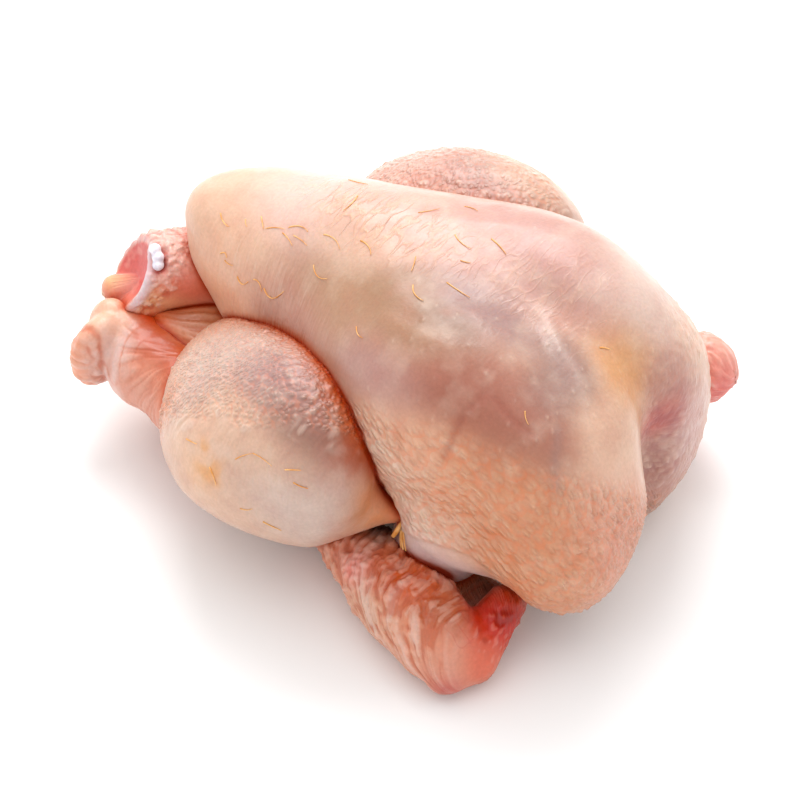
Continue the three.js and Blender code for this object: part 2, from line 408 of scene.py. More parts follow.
def peeled(points, at, half, toward, heading):
    """A flat map of a lobe's skin, in millimetres, as if peeled off from the point that faces `toward`.

    A point's angle from that middle, times the lobe's half size, is its distance from the middle on the map.
    The map's first axis runs along `heading`.
    """
    half = np.array(half, float)
    centre = np.array(toward, float) / np.linalg.norm(toward)
    first = np.array(heading, float) - centre * (centre @ heading)
    first /= np.linalg.norm(first)
    second = np.cross(centre, first)
    way = (points - np.array(at, float)) / half
    way /= np.linalg.norm(way, axis=-1, keepdims=True) + 1e-9
    angle = np.arccos(np.clip(way @ centre, -1, 1))
    flat = np.stack([way @ first, way @ second], -1)
    flat *= (angle / (np.linalg.norm(flat, axis=-1) + 1e-9))[..., None]
    return flat * np.array([np.abs(axis) @ half / np.abs(axis).sum() for axis in (first, second)])


def sleeve(points, start, end):
    """A flat map of a limb's skin: millimetres along its middle line, and round it at the skin's radius."""
    start = np.array(start, float)
    axis = np.subtract(end, start) / np.linalg.norm(np.subtract(end, start))
    side = np.cross(axis, [0, 0, 1])
    side /= np.linalg.norm(side)
    over = np.cross(side, axis)
    along = (points - start) @ axis
    radius = np.linalg.norm(points - start - along[..., None] * axis, axis=-1)
    angle = np.arctan2((points - start) @ side, (points - start) @ over)
    return np.stack([along, angle * radius], -1)


def turn_map(chart, degrees):
    """A map turned in its own plane, so that its first axis points `degrees` round from where it did."""
    angle = np.radians(degrees)
    return chart @ np.array([[np.cos(angle), -np.sin(angle)], [np.sin(angle), np.cos(angle)]])


# ---- Colours

# Pale skin over fat, from white to sand
MILKY, PEARL, BUTTER, SHELL, IVORY = "#ffe4d0", "#f6e2e4", "#ffe0a4", "#f4cec2", "#f4caae"
CHALK, PEACH, ASH, SAND = "#e2c6ba", "#eac0a6", "#d8beb2", "#e0b49c"
# Pink and orange skin
BABY_PINK, BLUSH, WARM_PINK, HONEY, BUFF = "#ffc8bc", "#ffb6a4", "#ffb08c", "#ffae70", "#fcc496"
APRICOT, ROSE, ROSY, PINK, SALMON = "#f4b694", "#e8b4a6", "#eea494", "#e8a088", "#ea9a7a"
TERRACOTTA, CLAY, AMBER = "#e0966c", "#cc907a", "#de9a5a"
# Thin skin with meat, old fat or bruises under it, and painted shade
DUSKY, LILAC, FAWN, HAZE, VIOLET = "#ce9e96", "#c29088", "#b88c6c", "#b88678", "#a88484"
SLATE, FAT_TAN_AND_SHADE, UMBER, MAUVE, MEAT = "#98746c", "#a27858", "#7c543c", "#aa6854", "#a2543e"
BLUISH, THIGH_RIM_SHADE = "#9c7a78", "#6e301c"
# Deep red skin, bare flesh and blood, and the red of painted crease shade and glow
OCHRE, RUSSET, BRICK, RUST, FLAME = "#cc7e58", "#b8603c", "#bc4e2c", "#a83a16", "#d8541c"
CORAL, WET_PINK, RAW_PINK, RAW_RED, GLASSY = "#ec765c", "#f08a80", "#ea706a", "#ec545a", "#eec4d8"
BLOOD, SCARLET, CRIMSON = "#cc4c4c", "#ff5048", "#e01800"
SHADE = "#3c140a"  # deep between two limbs

LIT_PAST_WHITE_SHARE = 0.77  # of each skin colour that is kept: all the skin is painted darker by this share, to offset lamps that light the room past white


def linear(colour):
    """An sRGB hex colour, such as #e6b79c, as linear red, green and blue."""
    value = np.array([int(colour[i : i + 2], 16) for i in (1, 3, 5)]) / 255
    return np.where(value <= 0.04045, value / 12.92, ((value + 0.055) / 1.055) ** 2.4)


def tint(colours, colour, amount):
    """Moves an array of linear colours towards a hex colour by an amount from 0 to 1."""
    return colours + (linear(colour) - colours) * np.clip(amount, 0, 1)[..., None]


def stained(colours, points, stains):
    """Tints round a few places, one after the other: each has its colour, strength, place and reach."""
    for colour, strength, at, reach in stains:
        colours = tint(colours, colour, strength * near(points, at, reach))
    return colours


def mottled(colours, points, size, salt, pale, deep, strength):
    """Skin that is paler and deeper in smooth random spots of about `size`."""
    mottle = cloud(points, size, salt, 3)
    colours = tint(colours, pale, strength * rise(mottle, -0.1, 0.7))
    return tint(colours, deep, strength * rise(-mottle, -0.1, 0.7))


def veined(colours, points, colour, size, width, salt, strength):
    """Thin winding veins, in some places only: they run where smooth noise changes sign."""
    veins = np.exp(-((cloud(points, size, salt) / width) ** 2)) * rise(cloud(points, 11, salt + 1), 0, 0.4)
    return tint(colours, colour, strength * veins)


def patchwork(points, base, patches, own=0.12):
    """Skin that changes smoothly between patches of colour: the mean of all, weighted by nearness to each,
    and of the base colour, whose own weight is the same all over."""
    total, weights = own * linear(base), own
    for colour, at, reach in patches:
        weight = near(points, at, reach)
        total = total + weight[..., None] * linear(colour)
        weights = weights + weight
    return total / weights[..., None]


CREASE_DEPTH, CREASE_WIDTH = 0.5, 1.2  # of the dip in the skin where two masses meet
# How many times as far the painted shade and glow of a crease reach, where it isn't once
CREASE_PAINT_REACH = {"trunk": 0.55, "left_thigh": 2.0, "right_thigh": 1.4}


def painted_crease_glow_and_shade(colours, gap):
    """Painted light and shade at a crease: skin is painted glowing orange towards it and painted dark red in
    it.
    """
    colours = tint(colours, "#f07c44", 0.5 * np.exp(-((gap / 2.8) ** 1.2)))
    return tint(colours, "#c03a0a", 0.9 * np.exp(-((gap / 0.9) ** 1.2)))


def crest_light_furrow_shade(colours, height, low, high, crest, furrow, crest_share=0.4, furrow_share=0.4):
    """Skin that is paler where it stands out from its surroundings and deeper in the furrows: partly the
    skin's own tone, partly a painted highlight on the crests and painted shade in the furrows.
    """
    colours = tint(colours, crest, crest_share * rise(height, high * 0.2, high))
    return tint(colours, furrow, furrow_share * rise(-height, -low * 0.2, -low))


# ---- Skins
# Each works out, at points on the bare mass: how far the skin stands out, in millimetres, its colour, how
# much fine creping and crinkling it has, from 0 to about 1, and its grain.


def side_map(points, side):
    """The flat map of the breast's skin on one side of the keel."""
    return peeled(points, (10, 2, 58), (92, 55, 55), (0.45, 0.75 * side, 0.5), (1, 0, 0))


# Where the left thigh lies against the breast, from its rear to its knee
THIGH_CREASE = [(-50, -33, 72), (-30, -38, 80), (-18, -43, 84), (-9, -47, 85), (-3, -51, 85), (3, -53, 82)]
KNEE_CREASE = [(9, -55, 79), (16, -56, 70), (18, -55, 62), (18, -49, 49), (22, -48, 38)]

# Furrows across the breast meat
FURROWS = (
    [(51, -36, 106), (49, -46, 100), (48, -54, 87)],
    [(54.5, -36, 105), (62.5, -37, 101), (69, -36, 98.5)],
)
# The keel's line, seen from above
KEEL = [(-60, 0), (-20, 5), (14, 6), (32, 5), (45, 3), (56, -3), (65, -6), (74, -13), (84, -22)]


def trunk_skin(points):
    """The breast and back: cream and crinkled at the rear, mauve in the middle where the meat shows through,
    orange and goose-bumped down the sides, purple and pebbly in the hollow of the neck."""
    x, y, z = np.moveaxis(points, -1, 0)
    keel = np.array(KEEL, float)
    across = y - np.interp(x, keel[:, 0], keel[:, 1])
    left, right_side = side_map(points, -1), side_map(points, 1)
    base = 0.8 * cloud(points, 26, 1) + 0.3 * cloud(points, 9, 3)
    # the keel's edge, the dent on its right and a soft roll of fat on its left
    ridge = near(points, (50, 0, 100), (34, 30, 30))
    base += ridge * (0.5 * np.exp(-((across / 3.2) ** 2)) - 0.8 * np.exp(-(((across - 7) / 5.5) ** 2)))
    base += 0.5 * groove(points, [(4, -33, 108), (18, -34, 110), (31, -33, 111)], 3.5)
    # the fold at the hollow's edge
    base += 0.8 * groove(points, [(71.5, 11.5, 84), (75.5, 13.5, 72), (77.5, 12.5, 56)], 2.4)
    for furrow in FURROWS:
        base -= 0.3 * groove(points, furrow, 1.6)
    # the flank is smooth, below a soft rim
    rim = z - np.interp(x, [26, 34, 42, 50, 57, 66], [32, 39, 43.5, 46, 46, 42])
    front = rise(-y, 20, 34) * rise(x, 18, 26) * (1 - rise(x, 58, 68))
    flank = front * rise(-rim, -1, 2.5)
    base += front * (0.4 * np.exp(-(((rim - 1.2) / 1.8) ** 2)) - 0.35 * np.exp(-(((rim + 1.8) / 1.6) ** 2)))
    base += 4 * near(points, (21, -46, 27), (6, 5, 7))  # a web of skin under the knee
    height = base.copy()
    # goose bumps down the side: long ones that point forward and down, and round ones near the table
    down = 0.217 * x - 0.741 * y - 0.707 * z + 20 + 3 * cloud(points, 12, 5)
    side = rise(down, -4, 8) * rise(x, -8, 12) * rise(z, 4, 12) * (1 - flank)
    flow = wobbled(wobbled(left, 16, 1.2, 9), 5, 0.3, 12)
    bent = np.stack([flow[..., 0], flow[..., 1] + 0.003 * flow[..., 0] * np.abs(flow[..., 0])], -1)
    long_bumps, long_pores = goose_bumps(turn_map(bent, -20), 2.5, 1.7, 30)
    low = 1 - rise(z, 30, 52)
    round_bumps, round_pores = goose_bumps(turn_map(bent, -30), 2.5, 1.2, 34)
    bumps = long_bumps * (1 - low) + round_bumps * low
    found = long_pores * (1 - low) + round_pores * low
    height += side * 1.2 * bumps * (0.8 + 0.5 * cloud(left, 10, 15))
    # scattered pimples over the front of the breast
    nearest, _, own = pores(wobbled(left, 9, 1.5, 14), 4.2, 0.95, 40)
    pimples = rise(x, -6, 20) * rise(z, 74, 92) * rise(own, 0.6, 1) * np.exp(-((nearest / 0.12) ** 2))
    height += 0.4 * pimples
    # cobbled skin low in the hollow of the neck and bumps on the right shoulder
    hollow = near(points, (84, 26, 48), (15, 15, 34))
    cobbles = strands(wobbled(turn_map(right_side, 80), 7, 1.2, 16), 3.8, 5.2, 50)
    cobbled = hollow * (1 - 0.5 * rise(z, 44, 62))
    height += cobbled * (1.2 * cobbles - 0.5)
    bumpy_shoulder = rise(across, 24, 40) * rise(x, -20, 20) * (1 - hollow) * rise(-z, -104, -84)
    small, _ = goose_bumps(wobbled(right_side, 7, 1, 18), 2.8, 1.3, 60)
    height += 0.6 * bumpy_shoulder * small

    colours = patchwork(points, SAND, (
        (IVORY, (-92, -6, 88), (20, 26, 18)),  # tip of the keel
        (APRICOT, (-78, -26, 80), (18, 14, 16)),  # its left side
        (SHELL, (-60, 0, 106), (24, 18, 12)),  # rear of the keel
        (SAND, (-30, -8, 110), (18, 12, 10)),
        (ROSE, (-18, 8, 113), (22, 12, 10)),
        (CLAY, (-42, -31, 86), (26, 9, 12)),  # beside the thigh
        (FAWN, (-22, -29, 100), (20, 10, 9)),
        (FAWN, (14, -33, 108), (16, 9, 10)),  # yellow fat on the breast's left
        (FAT_TAN_AND_SHADE, (-2, -25, 111), (16, 8, 9)),
        (LILAC, (14, -46, 99), (16, 9, 10)),  # above the thigh
        (MEAT, (42, -40, 105), (20, 12, 14)),  # breast meat under thin skin
        (MAUVE, (62, -36, 101), (12, 12, 14)),
        (BLUISH, (26, -9, 111), (20, 8, 9)),  # beside the keel
        (DUSKY, (24, 22, 114), (30, 18, 12)),  # right breast
        (SLATE, (57, -4, 99), (9, 6, 8)),  # and over the keel's front
        (SLATE, (64, -10, 98), (8, 7, 8)),
        (SLATE, (65, -22, 100), (9, 7, 7)),
        (UMBER, (22, -25, 112.5), (14, 7, 8)),  # painted shade beside the fat, toning down the highlight there
        # painted shade as well, toning down the highlight
        (FAT_TAN_AND_SHADE, (2, -15, 111.5), (10, 8, 8)),
        (IVORY, (-62, -21, 90), (12, 7, 7)),
        (HAZE, (46, 14, 106), (14, 7, 9)),  # dent on the keel's right
        (AMBER, (70, 13, 91), (13, 11, 12)),  # yellow fat over the crop
        (MAUVE, (76, -30, 94), (8, 8, 11)),
        (PEACH, (86, -16, 84), (12, 14, 18)),  # front
        (APRICOT, (38, -54, 86), (20, 8, 9)),  # left side
        (MILKY, (24, -54, 62), (16, 12, 20)),  # beside the knee, painted lighter against the crease's shade
        (APRICOT, (42, -56, 66), (14, 8, 12)),
        (TERRACOTTA, (58, -52, 80), (20, 10, 14)),
        (TERRACOTTA, (76, -48, 66), (16, 12, 18)),
        (TERRACOTTA, (88, -44, 48), (16, 14, 18)),
        (PINK, (99, -24, 62), (10, 14, 26)),  # front edge
        (LILAC, (80, 23, 84), (9, 9, 8)),  # hollow of the neck
        (BLOOD, (81, 23, 69), (6, 7, 7)),  # blood under the skin
        (HAZE, (80, 24, 44), (9, 9, 18)),
        (DUSKY, (86, 36, 54), (9, 12, 26)),
        (CHALK, (62, 40, 100), (22, 18, 14)),  # right shoulder
        (PEACH, (76, 50, 80), (14, 12, 16)),
        (PEARL, (39, -46, 29), (14, 9, 12)),  # smooth left flank: its own pale colour, painted lighter still for light bounced under the breast
    ))
    bruise = near(points, (81, 24, 62), (12, 12, 26)) * rise(cloud(points, 5, 85, 2), -0.1, 0.45)
    colours = tint(colours, "#a04c54", 0.45 * bruise)
    colours = tint(colours, "#8e4a50", 0.4 * cobbled * rise(-cobbles, -0.4, 0))
    colours = tint(colours, "#f4d2c2", 0.35 * cobbled * rise(cobbles, 0.45, 0.9))
    colours = mottled(colours, points, 7, 80, "#f6ddc8", "#c57f6c", 0.2)
    # paler crests and deeper furrows: partly the skin's tone, partly painted highlight and shade
    colours = crest_light_furrow_shade(colours, height - base, -0.32, 0.3, "#f2d0b0", "#d98258", 0.1, 0.3 * side + 0.1)
    colours = tint(colours, "#c4552c", 0.65 * side * found * (0.5 + 0.5 * low))
    colours = tint(colours, "#f3dccb", 0.2 * pimples)
    # painted shade along the thigh's crease, and painted light along the lower knee crease against the shade
    # there
    colours = tint(colours, "#9a4a30", 0.5 * groove(points, THIGH_CREASE, 7))
    colours = tint(colours, "#ffdcc0", 0.7 * groove(points, KNEE_CREASE[2:], 6))
    colours = stained(colours, points, (
        (SHADE, 0.95, (18, -43, 25), (7, 5, 9)),  # deep under the knee
        (SHADE, 0.95, (25, -47, 30), (3.5, 2.5, 7)),
    ))
    vein = groove(points, [(75, -28, 97.5), (79, -35, 92), (83, -39, 85)], 2)
    colours = tint(colours, "#94807f", 0.25 * vein)
    for furrow in FURROWS:
        colours = tint(colours, "#a2503c", 0.42 * groove(points, furrow, 1.8))
    colours = tint(colours, "#f3ddd2", 0.2 * np.exp(-((across / 2.4) ** 2)) * ridge)
    grain = grain_of(turn_map(bent, -22), 2.1, 3.6, side * (1 - 0.3 * low) + 0.35 * bumpy_shoulder)
    creping = 0.15 + 1.3 * near(points, (-52, -31, 80), (34, 14, 22))
    creping += 0.5 * near(points, (90, 36, 60), (14, 14, 40))
    crinkling = near(points, (-24, 1, 112), (27, 13, 12)) + 0.5 * near(points, (-52, 5, 108), (18, 12, 10))
    crinkling += 0.3 * near(points, (30, 12, 110), (40, 24, 14))
    return height, colours, creping, crinkling, grain


def thigh_skin(points, side):
    """A thigh: mauve and goose-bumped above, then in long folds, then cream with yellow fat below."""
    x, y, z = points[..., 0], points[..., 1] * side, points[..., 2]
    there = np.stack([x, y, z], -1)  # the same place on a left thigh has Y turned over
    chart = peeled(there, (-27, 52, 49), (48, 33, 38), (0.1, 0.7, 0.7), (1, 0, 0)) * np.array([1, -1])
    base = 0.7 * cloud(points, 22, 101) + 0.25 * cloud(points, 8, 103)
    above = slanted(x, y, z) - 22.5 + 0.2 * np.maximum(x + 8, 0)
    above += 3 * cloud(chart, 8, 105) + 2 * cloud(chart, 3.5, 106)
    bumpy = rise(above, -2.5, 2.5)
    flow = wobbled(wobbled(chart, 9, 1.2, 107), 3.5, 0.4, 109)
    bumps, found = goose_bumps(turn_map(flow, 58), 2.8, 1.3, 110, 0.8)
    uneven = 0.8 + 0.6 * cloud(chart, 7, 118)
    height = base + bumpy * (0.6 * bumps * uneven + 0.12 * cloud(points, 3, 117))
    fringe = np.exp(-(((above + 2.5) / 3.5) ** 2)) * rise(cloud(chart, 6, 112), -0.3, 0.3)
    height += fringe * 0.4 * folds(turn_map(flow, 68), 2.2, 7, 113)
    folded = near(there, (0, 68, 72), (20, 20, 10)) + 0.6 * near(there, (-24, 78, 74), (26, 20, 8))
    height += folded * 0.25 * (folds(turn_map(flow, 72), 2.4, 9, 115) - 0.5) * (1 - bumpy)
    edge = near(there, (-62, 72, 52), (8, 10, 13))
    beads, _ = goose_bumps(wobbled(chart, 5, 1, 119), 1.7, 1.1, 121, 0.95)
    height += edge * (0.7 * beads + 0.131)
    upper = ((ASH, (-48, 49, 82), (16, 12, 12)),) if side < 0 else (
        (ROSE, (-48, 49, 84), (16, 12, 12)),  # the right thigh is redder along the breast
        (MAUVE, (-24, 50, 88), (20, 6, 8)),
        (PEACH, (-12, 68, 86), (16, 10, 10)),
    )
    colours = patchwork(there, SAND, (
        *upper,
        (ASH, (-57, 68, 70), (12, 14, 12)),
        (VIOLET, (-22, 56, 86), (20, 12, 9)),  # goose-bumped upper side
        # painted shade along the rim that lies against the breast
        (THIGH_RIM_SHADE, (0, 59, 80), (14, 12, 10)),
        (PEACH, (-18, 78, 72), (16, 14, 7)),
        (BUFF, (-30, 85, 54), (6, 10, 6)),  # yellow fat
        (IVORY, (-41, 83, 61), (9, 10, 7)),
        (ASH, (8, 75, 54), (20, 16, 12)),
        (PEACH, (-22, 86, 42), (18, 14, 14)),
        (RUST, (12, 59, 70), (7, 9, 9)),  # top of the knee
        (HONEY, (23, 56, 50), (9, 11, 11)),  # tip of the knee
        (MILKY, (-63, 72, 58), (8, 12, 12)),
    ))
    colours = mottled(colours, points, 6, 120, "#f5dfcf", "#bd8076", 0.22)
    # paler crests and deeper furrows: partly the skin's tone, partly painted highlight and shade
    colours = crest_light_furrow_shade(colours, height - base, -0.25, 0.35, "#f0d8c8", "#b4746a", 0.35, 0.3)
    colours = tint(colours, "#b4705f", 0.4 * bumpy * found)
    colours = tint(colours, "#ee8f68", 0.6 * edge)
    # painted shade along the crease where the left thigh lies against the breast
    if side < 0:
        colours = tint(colours, "#8a3418", 0.8 * groove(points, THIGH_CREASE + KNEE_CREASE[:3], 5))
    # a streak of yellow fat
    streak = groove(wobbled(there[..., :2], 6, 2.5, 123), [(-33, 85), (-28, 87), (-24, 88)], 3)
    streak *= rise(z, 52, 56) * (1 - rise(z, 63, 67)) * rise(cloud(points, 4, 125), -0.5, 0.3)
    colours = tint(colours, "#f0a860", 0.6 * streak)
    creping = 0.25 + 0.5 * (1 - bumpy) * near(there, (0, 74, 66), (26, 20, 16))
    grain = grain_of(turn_map(flow, 58), 1.8, 2.4, 0.7 * bumpy + 0.8 * edge)
    return height, colours, creping, 0, grain


def left_shank_skin(points):
    """The left shank: pleats fan out from under the thigh, folds cross the ankle, and the knob is bumpy."""
    x, y, z = np.moveaxis(points, -1, 0)
    base = 0.6 * cloud(points, 14, 201) + 0.25 * cloud(points, 5, 203)
    fan_x, fan_z = x + 74, 0.7 * (z - 52) + 0.55 * (y + 46)
    angle, distance = np.arctan2(fan_z, -fan_x), np.hypot(fan_x, fan_z)
    fan = rise(distance, 2, 10) * (1 - rise(distance, 20, 38)) * (1 - rise(np.abs(angle), 1.2, 1.8))
    fan_map = np.stack([distance, 26 * angle], -1) + 2.2 * cloud(points, 9, 204)[..., None]
    pleats = folds(fan_map, 2.2, 12, 205)
    base += 1.6 * near(points, (-106, -39, 44), (6, 6, 4))  # a web of skin between the shanks
    height = base + fan * 0.4 * (pleats - 0.5)
    across = near(points, (-104, -55, 38), (9, 14, 18))
    height += across * 0.5 * (folds(np.stack([0.8 * z - 0.3 * y, x + 0.5 * z], -1), 3.2, 14, 207) - 0.5)
    knob = rise(-y, 55, 60) * rise(-x - 0.5 * y, 134.5, 138)
    knob_map = wobbled(points[..., 1:], 6, 1, 209)
    bumps, _ = goose_bumps(knob_map, 3.4, 1.2, 210)
    edge = 4 * knob * (1 - knob)
    height += knob * 0.8 * bumps - 0.35 * edge
    colours = patchwork(points, SALMON, (
        (BRICK, (-92, -44, 48), (12, 8, 6)),  # painted shade between the shanks
        (IVORY, (-115, -48, 48), (9, 8, 6)),
        (PINK, (-88, -62, 37), (16, 8, 10)),
        (SHELL, (-104, -58, 34), (6, 8, 14)),
        (WARM_PINK, (-120, -58, 30), (8, 10, 12)),  # knob of the ankle
        (RUST, (-77, -49, 52), (6, 10, 7)),  # painted shade under the thigh
    ))
    # paler crests and deeper furrows: partly the skin's tone, partly painted highlight and shade
    colours = crest_light_furrow_shade(colours, height - base, -0.3, 0.3, "#f8d6c2", "#cc5a34", 0.2, 0.45)
    colours = tint(colours, "#d06844", 0.35 * edge)
    colours = tint(colours, "#ead3d0", 0.5 * across * rise(height - base, -0.05, 0.2))
    colours = veined(colours, points, "#cc5540", 5, 0.07, 220, 0.35)
    # painted orange glow in the crease where the shanks and the belly meet
    colours = stained(colours, points, (("#f04810", 0.8, (-104, -38, 45), (6, 4, 3)),))
    return height, colours, 0.3, 0, grain_of(knob_map, 2.4, 3, 0.4 * knob)


def right_shank_skin(points):
    """The right shank: red and pebbly above, smooth and orange below. It is cut through at the ankle, where
    the skin's edge is a pale lip round hollow pink flesh, and gristle shows in a slit beside the lip."""
    x, y, z = np.moveaxis(points, -1, 0)
    chart = sleeve(points, (-60, 40, 46), (-116, -28, 51))
    beyond = (points - CUT_AT) @ CUT_NORMAL  # height above the cut
    out = np.linalg.norm(points - LIP_MIDDLE - beyond[..., None] * CUT_NORMAL, axis=-1)
    inside = rise(beyond, -7.5, -5.5) * (1 - rise(out, 12.2, 13.6))
    lip = np.exp(-(((out - 14.2) / 1.7) ** 2)) * rise(beyond, -5, -1.5)
    lip *= 0.35 + 0.65 * rise(x - 0.4 * y, -108, -101)
    base = 0.5 * cloud(points, 12, 301) + 0.25 * cloud(points, 5, 303)
    flow = wobbled(chart, 6, 1, 305)
    bumps, _ = goose_bumps(flow, 2.5, 1.1, 310, 0.95)
    pebbly = rise(slanted(x, y, z), 96, 104) * (1 - inside) * (1 - 0.8 * lip)
    base += 1.6 * near(points, (-107, -37, 44), (6, 6, 4))  # a web of skin between the shanks
    height = base * (1 - 0.5 * inside) + pebbly * 1.4 * bumps * (0.8 + 0.6 * cloud(points, 5, 314))
    height += 0.7 * lip + inside * 0.35 * cloud(points, 4, 312, 2)
    # the slit with the gristle, its raised banks, and a dark line and a fold beside it
    slit_path = [(-110.5, -25, 69), (-107, -26.5, 66.5), (-105.4, -28.6, 63.5)]
    slit = groove(points, slit_path, 3.2)
    beside = groove(points, [(-108.5, -22.5, 69.3), (-105, -24.8, 67.3), (-103.6, -27.4, 64.2)], 1.3)
    height += 1.5 * (groove(points, slit_path, 5.4) - slit) - 1.2 * slit - 0.6 * beside
    height += 0.9 * groove(points, [(-108, -20.5, 68.5), (-103.8, -23, 67), (-102.4, -26.5, 64)], 1.5)
    colours = patchwork(points, ROSY, (
        (BABY_PINK, (-104, -18, 66), (12, 10, 7)),
        (CORAL, (-97, -25, 58), (10, 8, 6)),  # beside the gristle
        (BUFF, (-102, -36, 48), (10, 10, 8)),
        (BUTTER, (-124, -34, 45), (6, 6, 6)),  # knob under the cut
    ))
    # paler crests and deeper furrows: partly the skin's tone, partly painted highlight and shade
    colours = crest_light_furrow_shade(colours, height - base, -0.25, 0.35, "#fedccf", "#cc3e30", 0.45, 0.5)
    flesh = patchwork(points, RAW_PINK, (
        (WET_PINK, (-122, -34, 60), (6, 6, 6)),
        (RAW_RED, (-114, -33, 56), (5, 5, 6)),
        (GLASSY, (-112, -31, 60), (2.5, 3, 4)),
        (BLUSH, (-118, -38, 52), (6, 6, 5)),
    ))
    flesh = tint(flesh, "#f9b3a6", 0.45 * rise(cloud(points, 3.5, 320, 2), 0.05, 0.5))
    colours = colours + (flesh - colours) * inside[..., None]
    colours = tint(colours, "#eedbe2", 0.9 * lip * (1 - inside))
    colours = stained(colours, points, (("#ffcc98", 0.85, (-125, -34, 50), (4.5, 5, 6)),))
    # in the slit and the groove beside it the flesh's red is painted darker, as shade in the recess
    colours = tint(colours, "#c8444c", 0.6 * slit)
    colours = tint(colours, "#7a0f14", 0.8 * beside)
    # painted orange glow in the crease between the shanks
    colours = stained(colours, points, (("#f04810", 0.8, (-104, -36, 45), (7, 4, 3)),))
    return height, colours, 0.15, 0, grain_of(flow, 1.8, 2, 0.5 * pebbly)


def belly_skin(points):
    """Slack belly skin in fine pleats that fan out from the left shank."""
    x, y, z = np.moveaxis(points, -1, 0)
    base = 0.4 * cloud(points, 12, 401)
    fan = np.arctan2(0.54 * y + 0.71 * z - 0.45 * x - 58, 0.77 * x + 0.64 * y + 110)
    pleats = folds(np.stack([0.8 * x, 30 * fan], -1) + cloud(points, 7, 405)[..., None], 2.0, 24, 403)
    web = near(points, (-102, -37, 44), (9, 8, 8))  # of skin between the shanks
    height = base + 0.5 * (pleats - 0.5) + 3 * web
    colours = patchwork(points, TERRACOTTA, ((OCHRE, (-84, -36, 52), (12, 12, 8)),))
    # paler crests and deeper furrows: partly the skin's tone, partly painted highlight and shade
    colours = crest_light_furrow_shade(colours, height - base, -0.25, 0.25, "#f2c9ab", "#c2623d", 0.35, 0.4)
    # painted shade on the belly beside the right shank, and painted orange glow in the crease between the
    # shanks
    colours = stained(colours, points, (
        ("#b04c28", 0.6, (-97, -30, 46), (9, 6, 5)),
        ("#e85420", 0.7, (-102, -36, 44), (7, 5, 4)),
    ))
    return height, colours, 0.4, 0, grain_of(points[..., :2], 2, 2, 0)


def left_wing_skin(points):
    """The left wing: soft ropes of skin lie aslant across it, fat shows between, and the palm is red."""
    x, y, z = np.moveaxis(points, -1, 0)
    chart = sleeve(points, (-8, -53, 12), (60, -64, 12))
    flow = wobbled(wobbled(chart, 18, 3.5, 501), 6, 0.8, 503)
    around = flow[..., 1]
    lines = np.stack([around, flow[..., 0] - around * np.abs(around) / 34], -1)
    ropes, fine = folds(lines, 3.0, 9, 510, 0.5), folds(lines, 1.5, 5, 515)
    knobbly, _ = goose_bumps(flow, 3.2, 1.2, 540, 0.95)
    upper = rise(slanted(x, y, z), 24, 34)
    base = 0.8 * cloud(points, 14, 505) + 0.4 * cloud(points, 6, 506)
    hand = near(points, (69, -56, 18), (11, 15, 12))
    smooth = rise(-z, -15, -6) * rise(-x, -56, -44)
    tip = near(points, (72, -68, 11), (13, 14, 13))
    loose = (1 - 0.9 * hand) * (1 - 0.7 * smooth) * (1 - 0.9 * tip)
    base += 3 * near(points, (17, -43, 20), (8, 7, 7))  # a web of skin under the knee
    height = base + (0.8 * (ropes - 0.5) + 0.3 * (fine - 0.5)) * loose
    height += 0.85 * upper * (1 - hand) * knobbly
    palm = near(points, (71, -50, 20), (9, 13, 12))
    palm_map = np.stack([0.77 * x + 0.64 * y, z - 0.4 * x], -1)
    pebbles, _ = goose_bumps(wobbled(palm_map, 5, 0.8, 545), 2.4, 1.1, 546, 0.95)
    height += palm * 0.9 * pebbles
    colours = patchwork(points, SALMON, (
        (PEACH, (25, -78, 20), (22, 5, 8)),
        (FLAME, (40, -65, 32), (16, 9, 6)),  # painted orange glow in the crease under the breast
        (SALMON, (50, -76, 22), (14, 8, 8)),
        (BLUSH, (16, -68, 26), (10, 7, 6)),
        (SCARLET, (18, -66, 24), (4, 3.5, 4)),
        (PINK, (66, -76, 16), (8, 7, 9)),
        (RUSSET, (56, -66, 27), (7, 8, 7)),
        (CRIMSON, (70, -48, 21), (10, 10, 9)),
        (CORAL, (76, -64, 15), (6, 7, 8)),
        (BLOOD, (71, -80, 9), (5, 5, 5)),
    ))
    streaks = rise(cloud(lines / np.array([3, 1]), 4, 530, 2), 0, 0.6)
    colours = tint(colours, "#f8e4dc", 0.32 * streaks * (1 - palm) * (1 - hand) * (1 - tip))
    # paler crests and deeper furrows: partly the skin's tone, partly painted highlight and shade
    colours = crest_light_furrow_shade(colours, height - base, -0.4, 0.25, "#fbd8c6", "#c8501f", 0.28, 0.5)
    colours = stained(colours, points, (
        ("#d01200", 0.8, (71, -48, 21), (11, 11, 9)),  # blood in the palm
        ("#a01408", 0.5, (76, -44, 22), (7, 6, 8)),
    ))
    colours = tint(colours, "#7c0a06", 0.4 * palm * rise(cloud(points, 4, 550, 2), 0, 0.5))
    colours = tint(colours, "#f47a62", 0.4 * palm * rise(pebbles, 0.07, 0.57))
    colours = stained(colours, points, (
        (SHADE, 0.95, (12, -45, 21), (11, 7, 7)),  # deep between the wing and the knee
        ("#4a1810", 0.9, (52, -39, 14), (15, 8, 9)),  # painted shade between the wing and the breast
    ))
    colours = veined(colours, points, "#c43f38", 4.5, 0.08, 520, 0.3)
    return height, colours, 0.3, 0, grain_of(lines, 1.7, 4.5, 0.35 * loose)


